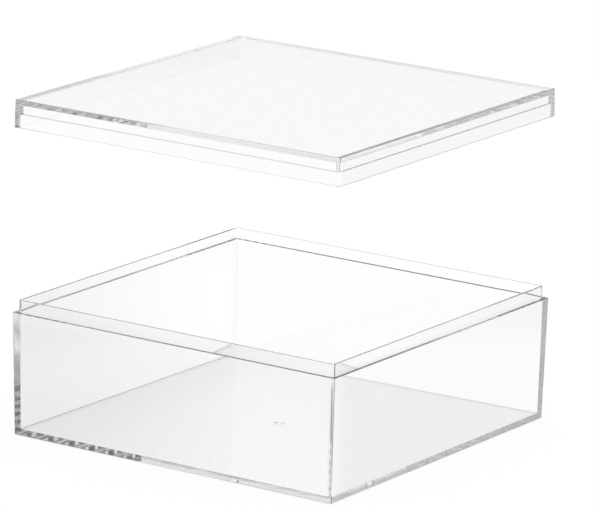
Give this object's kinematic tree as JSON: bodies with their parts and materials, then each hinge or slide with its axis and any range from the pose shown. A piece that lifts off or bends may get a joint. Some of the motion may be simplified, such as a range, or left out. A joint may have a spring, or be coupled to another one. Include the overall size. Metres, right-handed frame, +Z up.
{
  "type": "storage box",
  "caption": "Clear square keepsake box: a deep tray with a stepped rim and a flat lift-off lid that seats flush on it, shown raised.",
  "frame": {"origin": "middle of the tray's underside, on the surface that the box stands on", "axes": "+Z up; the walls run along X and Y; the box is the same from all four sides"},
  "size_m": [0.127, 0.127, 0.1128],
  "materials": {
    "clear_plastic": "water-clear, colourless, high gloss as moulded"
  },
  "bodies": {
    "tray": {"tray": "clear_plastic"},
    "lid": {"lid": "clear_plastic"}
  },
  "joints": [
    {"name": "lid_lift", "type": "slide", "parent": "tray", "child": "lid", "axis": [0, 0, 1], "range_m": [-0.062, 0]}
  ]
}
